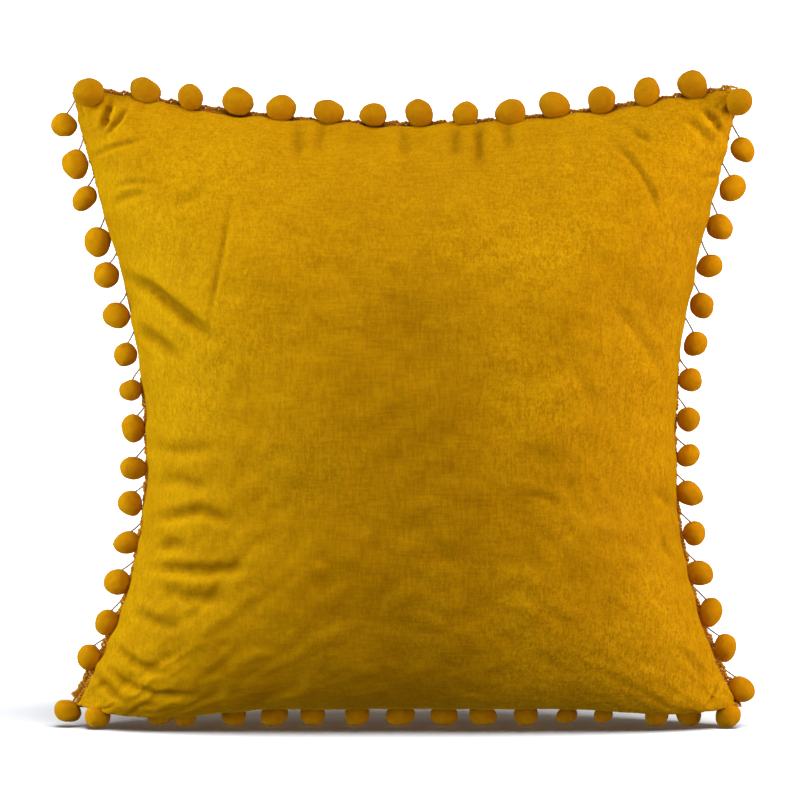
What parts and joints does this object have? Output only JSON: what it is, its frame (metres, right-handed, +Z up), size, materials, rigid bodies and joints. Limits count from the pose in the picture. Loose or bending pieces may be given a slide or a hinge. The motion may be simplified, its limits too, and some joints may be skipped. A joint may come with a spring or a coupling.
{
  "type": "throw pillow",
  "caption": "Square velvet throw pillow standing on one edge, with a fringe of swinging felt pompoms sewn into the seam, a concealed zip underneath and a loose fibre-filled insert.",
  "frame": {"origin": "middle of the underside, on the surface the pillow stands on", "axes": "+X to the right and +Y to the back as seen from the front, +Z up"},
  "size_m": [0.462, 0.165, 0.4269],
  "materials": {
    "mustard_velvet": "matte",
    "orange_felt": "matte",
    "white_insert_cloth": "matte",
    "polyester_fibre": "matte",
    "zip_tape": "matte",
    "zip_coil": "satin",
    "zip_metal": "satin",
    "satin_label": "satin"
  },
  "bodies": {
    "pillow": {"care_label": "satin_label", "cover_back_panel": "mustard_velvet", "cover_front_panel": "mustard_velvet", "fibre_fill": "polyester_fibre", "insert_back_panel": "white_insert_cloth", "insert_front_panel": "white_insert_cloth", "pompom_trim": "orange_felt", "zipper_coil_back": "zip_coil", "zipper_coil_front": "zip_coil", "zipper_stop_left": "zip_metal", "zipper_stop_right": "zip_metal", "zipper_tape_back": "zip_tape", "zipper_tape_front": "zip_tape"},
    "pompom_left_01": {"pompom_left_01": "orange_felt"},
    "pompom_left_02": {"pompom_left_02": "orange_felt"},
    "pompom_left_03": {"pompom_left_03": "orange_felt"},
    "pompom_left_04": {"pompom_left_04": "orange_felt"},
    "pompom_left_05": {"pompom_left_05": "orange_felt"},
    "pompom_left_06": {"pompom_left_06": "orange_felt"},
    "pompom_left_07": {"pompom_left_07": "orange_felt"},
    "pompom_left_08": {"pompom_left_08": "orange_felt"},
    "pompom_left_09": {"pompom_left_09": "orange_felt"},
    "pompom_left_10": {"pompom_left_10": "orange_felt"},
    "pompom_left_11": {"pompom_left_11": "orange_felt"},
    "pompom_left_12": {"pompom_left_12": "orange_felt"},
    "pompom_left_13": {"pompom_left_13": "orange_felt"},
    "pompom_left_14": {"pompom_left_14": "orange_felt"},
    "pompom_left_15": {"pompom_left_15": "orange_felt"},
    "pompom_right_01": {"pompom_right_01": "orange_felt"},
    "pompom_right_02": {"pompom_right_02": "orange_felt"},
    "pompom_right_03": {"pompom_right_03": "orange_felt"},
    "pompom_right_04": {"pompom_right_04": "orange_felt"},
    "pompom_right_05": {"pompom_right_05": "orange_felt"},
    "pompom_right_06": {"pompom_right_06": "orange_felt"},
    "pompom_right_07": {"pompom_right_07": "orange_felt"},
    "pompom_right_08": {"pompom_right_08": "orange_felt"},
    "pompom_right_09": {"pompom_right_09": "orange_felt"},
    "pompom_right_10": {"pompom_right_10": "orange_felt"},
    "pompom_right_11": {"pompom_right_11": "orange_felt"},
    "pompom_right_12": {"pompom_right_12": "orange_felt"},
    "pompom_right_13": {"pompom_right_13": "orange_felt"},
    "pompom_right_14": {"pompom_right_14": "orange_felt"},
    "pompom_right_15": {"pompom_right_15": "orange_felt"},
    "pompom_top_01": {"pompom_top_01": "orange_felt"},
    "pompom_top_02": {"pompom_top_02": "orange_felt"},
    "pompom_top_03": {"pompom_top_03": "orange_felt"},
    "pompom_top_04": {"pompom_top_04": "orange_felt"},
    "pompom_top_05": {"pompom_top_05": "orange_felt"},
    "pompom_top_06": {"pompom_top_06": "orange_felt"},
    "pompom_top_07": {"pompom_top_07": "orange_felt"},
    "pompom_top_08": {"pompom_top_08": "orange_felt"},
    "pompom_top_09": {"pompom_top_09": "orange_felt"},
    "pompom_top_10": {"pompom_top_10": "orange_felt"},
    "pompom_top_11": {"pompom_top_11": "orange_felt"},
    "pompom_top_12": {"pompom_top_12": "orange_felt"},
    "pompom_top_13": {"pompom_top_13": "orange_felt"},
    "pompom_top_14": {"pompom_top_14": "orange_felt"},
    "pompom_top_15": {"pompom_top_15": "orange_felt"},
    "zipper_pull": {"zipper_pull": "zip_metal"},
    "zipper_slider": {"zipper_slider": "zip_metal"}
  },
  "joints": [
    {"name": "left_01_swing", "type": "hinge", "parent": "pillow", "child": "pompom_left_01", "pos_m": [-0.21535, 0, 0.407], "axis": [1, 0, 0], "range_deg": [-60, 60]},
    {"name": "left_02_swing", "type": "hinge", "parent": "pillow", "child": "pompom_left_02", "pos_m": [-0.21026, 0, 0.38221], "axis": [1, 0, 0], "range_deg": [-60, 60]},
    {"name": "left_03_swing", "type": "hinge", "parent": "pillow", "child": "pompom_left_03", "pos_m": [-0.20327, 0, 0.35743], "axis": [1, 0, 0], "range_deg": [-60, 60]},
    {"name": "left_04_swing", "type": "hinge", "parent": "pillow", "child": "pompom_left_04", "pos_m": [-0.19585, 0, 0.33264], "axis": [1, 0, 0], "range_deg": [-60, 60]},
    {"name": "left_05_swing", "type": "hinge", "parent": "pillow", "child": "pompom_left_05", "pos_m": [-0.18865, 0, 0.30786], "axis": [1, 0, 0], "range_deg": [-60, 60]},
    {"name": "left_06_swing", "type": "hinge", "parent": "pillow", "child": "pompom_left_06", "pos_m": [-0.18209, 0, 0.28307], "axis": [1, 0, 0], "range_deg": [-60, 60]},
    {"name": "left_07_swing", "type": "hinge", "parent": "pillow", "child": "pompom_left_07", "pos_m": [-0.17651, 0, 0.25829], "axis": [1, 0, 0], "range_deg": [-60, 60]},
    {"name": "left_08_swing", "type": "hinge", "parent": "pillow", "child": "pompom_left_08", "pos_m": [-0.17216, 0, 0.2335], "axis": [1, 0, 0], "range_deg": [-60, 60]},
    {"name": "left_09_swing", "type": "hinge", "parent": "pillow", "child": "pompom_left_09", "pos_m": [-0.16927, 0, 0.20871], "axis": [1, 0, 0], "range_deg": [-60, 60]},
    {"name": "left_10_swing", "type": "hinge", "parent": "pillow", "child": "pompom_left_10", "pos_m": [-0.16803, 0, 0.18393], "axis": [1, 0, 0], "range_deg": [-60, 60]},
    {"name": "left_11_swing", "type": "hinge", "parent": "pillow", "child": "pompom_left_11", "pos_m": [-0.16862, 0, 0.15914], "axis": [1, 0, 0], "range_deg": [-60, 60]},
    {"name": "left_12_swing", "type": "hinge", "parent": "pillow", "child": "pompom_left_12", "pos_m": [-0.17119, 0, 0.13436], "axis": [1, 0, 0], "range_deg": [-60, 60]},
    {"name": "left_13_swing", "type": "hinge", "parent": "pillow", "child": "pompom_left_13", "pos_m": [-0.17587, 0, 0.10957], "axis": [1, 0, 0], "range_deg": [-60, 60]},
    {"name": "left_14_swing", "type": "hinge", "parent": "pillow", "child": "pompom_left_14", "pos_m": [-0.18281, 0, 0.08479], "axis": [1, 0, 0], "range_deg": [-60, 60]},
    {"name": "left_15_swing", "type": "hinge", "parent": "pillow", "child": "pompom_left_15", "pos_m": [-0.19213, 0, 0.06], "axis": [1, 0, 0], "range_deg": [-60, 60]},
    {"name": "right_01_swing", "type": "hinge", "parent": "pillow", "child": "pompom_right_01", "pos_m": [0.212, 0, 0.391], "axis": [1, 0, 0], "range_deg": [-60, 60]},
    {"name": "right_02_swing", "type": "hinge", "parent": "pillow", "child": "pompom_right_02", "pos_m": [0.20536, 0, 0.366], "axis": [1, 0, 0], "range_deg": [-60, 60]},
    {"name": "right_03_swing", "type": "hinge", "parent": "pillow", "child": "pompom_right_03", "pos_m": [0.1984, 0, 0.341], "axis": [1, 0, 0], "range_deg": [-60, 60]},
    {"name": "right_04_swing", "type": "hinge", "parent": "pillow", "child": "pompom_right_04", "pos_m": [0.19178, 0, 0.316], "axis": [1, 0, 0], "range_deg": [-60, 60]},
    {"name": "right_05_swing", "type": "hinge", "parent": "pillow", "child": "pompom_right_05", "pos_m": [0.18587, 0, 0.291], "axis": [1, 0, 0], "range_deg": [-60, 60]},
    {"name": "right_06_swing", "type": "hinge", "parent": "pillow", "child": "pompom_right_06", "pos_m": [0.1809, 0, 0.266], "axis": [1, 0, 0], "range_deg": [-60, 60]},
    {"name": "right_07_swing", "type": "hinge", "parent": "pillow", "child": "pompom_right_07", "pos_m": [0.17709, 0, 0.241], "axis": [1, 0, 0], "range_deg": [-60, 60]},
    {"name": "right_08_swing", "type": "hinge", "parent": "pillow", "child": "pompom_right_08", "pos_m": [0.17459, 0, 0.216], "axis": [1, 0, 0], "range_deg": [-60, 60]},
    {"name": "right_09_swing", "type": "hinge", "parent": "pillow", "child": "pompom_right_09", "pos_m": [0.17353, 0, 0.191], "axis": [1, 0, 0], "range_deg": [-60, 60]},
    {"name": "right_10_swing", "type": "hinge", "parent": "pillow", "child": "pompom_right_10", "pos_m": [0.17403, 0, 0.166], "axis": [1, 0, 0], "range_deg": [-60, 60]},
    {"name": "right_11_swing", "type": "hinge", "parent": "pillow", "child": "pompom_right_11", "pos_m": [0.1762, 0, 0.141], "axis": [1, 0, 0], "range_deg": [-60, 60]},
    {"name": "right_12_swing", "type": "hinge", "parent": "pillow", "child": "pompom_right_12", "pos_m": [0.18012, 0, 0.116], "axis": [1, 0, 0], "range_deg": [-60, 60]},
    {"name": "right_13_swing", "type": "hinge", "parent": "pillow", "child": "pompom_right_13", "pos_m": [0.18589, 0, 0.091], "axis": [1, 0, 0], "range_deg": [-60, 60]},
    {"name": "right_14_swing", "type": "hinge", "parent": "pillow", "child": "pompom_right_14", "pos_m": [0.19358, 0, 0.066], "axis": [1, 0, 0], "range_deg": [-60, 60]},
    {"name": "right_15_swing", "type": "hinge", "parent": "pillow", "child": "pompom_right_15", "pos_m": [0.20325, 0, 0.041], "axis": [1, 0, 0], "range_deg": [-60, 60]},
    {"name": "top_01_swing", "type": "hinge", "parent": "pillow", "child": "pompom_top_01", "pos_m": [-0.2155, 0, 0.4125], "axis": [-1, 0, 0], "range_deg": [0, 160]},
    {"name": "top_02_swing", "type": "hinge", "parent": "pillow", "child": "pompom_top_02", "pos_m": [-0.16874, 0, 0.40533], "axis": [1, 0, 0], "range_deg": [-45, 45], "stiffness_Nm_per_rad": 0.00005},
    {"name": "top_03_swing", "type": "hinge", "parent": "pillow", "child": "pompom_top_03", "pos_m": [-0.13926, 0, 0.40054], "axis": [1, 0, 0], "range_deg": [-45, 45], "stiffness_Nm_per_rad": 0.00005},
    {"name": "top_04_swing", "type": "hinge", "parent": "pillow", "child": "pompom_top_04", "pos_m": [-0.10978, 0, 0.39636], "axis": [1, 0, 0], "range_deg": [-45, 45], "stiffness_Nm_per_rad": 0.00005},
    {"name": "top_05_swing", "type": "hinge", "parent": "pillow", "child": "pompom_top_05", "pos_m": [-0.0803, 0, 0.39301], "axis": [1, 0, 0], "range_deg": [-45, 45], "stiffness_Nm_per_rad": 0.00005},
    {"name": "top_06_swing", "type": "hinge", "parent": "pillow", "child": "pompom_top_06", "pos_m": [-0.05083, 0, 0.39062], "axis": [1, 0, 0], "range_deg": [-45, 45], "stiffness_Nm_per_rad": 0.00005},
    {"name": "top_07_swing", "type": "hinge", "parent": "pillow", "child": "pompom_top_07", "pos_m": [-0.02135, 0, 0.38929], "axis": [1, 0, 0], "range_deg": [-45, 45], "stiffness_Nm_per_rad": 0.00005},
    {"name": "top_08_swing", "type": "hinge", "parent": "pillow", "child": "pompom_top_08", "pos_m": [0.00813, 0, 0.38904], "axis": [1, 0, 0], "range_deg": [-45, 45], "stiffness_Nm_per_rad": 0.00005},
    {"name": "top_09_swing", "type": "hinge", "parent": "pillow", "child": "pompom_top_09", "pos_m": [0.03761, 0, 0.38989], "axis": [1, 0, 0], "range_deg": [-45, 45], "stiffness_Nm_per_rad": 0.00005},
    {"name": "top_10_swing", "type": "hinge", "parent": "pillow", "child": "pompom_top_10", "pos_m": [0.06709, 0, 0.39181], "axis": [1, 0, 0], "range_deg": [-45, 45], "stiffness_Nm_per_rad": 0.00005},
    {"name": "top_11_swing", "type": "hinge", "parent": "pillow", "child": "pompom_top_11", "pos_m": [0.09657, 0, 0.39474], "axis": [1, 0, 0], "range_deg": [-45, 45], "stiffness_Nm_per_rad": 0.00005},
    {"name": "top_12_swing", "type": "hinge", "parent": "pillow", "child": "pompom_top_12", "pos_m": [0.12605, 0, 0.39858], "axis": [1, 0, 0], "range_deg": [-45, 45], "stiffness_Nm_per_rad": 0.00005},
    {"name": "top_13_swing", "type": "hinge", "parent": "pillow", "child": "pompom_top_13", "pos_m": [0.15553, 0, 0.40313], "axis": [1, 0, 0], "range_deg": [-45, 45], "stiffness_Nm_per_rad": 0.00005},
    {"name": "top_14_swing", "type": "hinge", "parent": "pillow", "child": "pompom_top_14", "pos_m": [0.18501, 0, 0.40807], "axis": [1, 0, 0], "range_deg": [-45, 45], "stiffness_Nm_per_rad": 0.00005},
    {"name": "top_15_swing", "type": "hinge", "parent": "pillow", "child": "pompom_top_15", "pos_m": [0.2155, 0, 0.4125], "axis": [-1, 0, 0], "range_deg": [0, 160]},
    {"name": "zip_slide", "type": "slide", "parent": "pillow", "child": "zipper_slider", "axis": [1, 0, 0], "range_m": [-0.288, 0]},
    {"name": "pull_flip", "type": "hinge", "parent": "zipper_slider", "child": "zipper_pull", "pos_m": [0.1445, 0.0185, 0.0114], "axis": [0, -1, 0], "range_deg": [0, 175]}
  ]
}
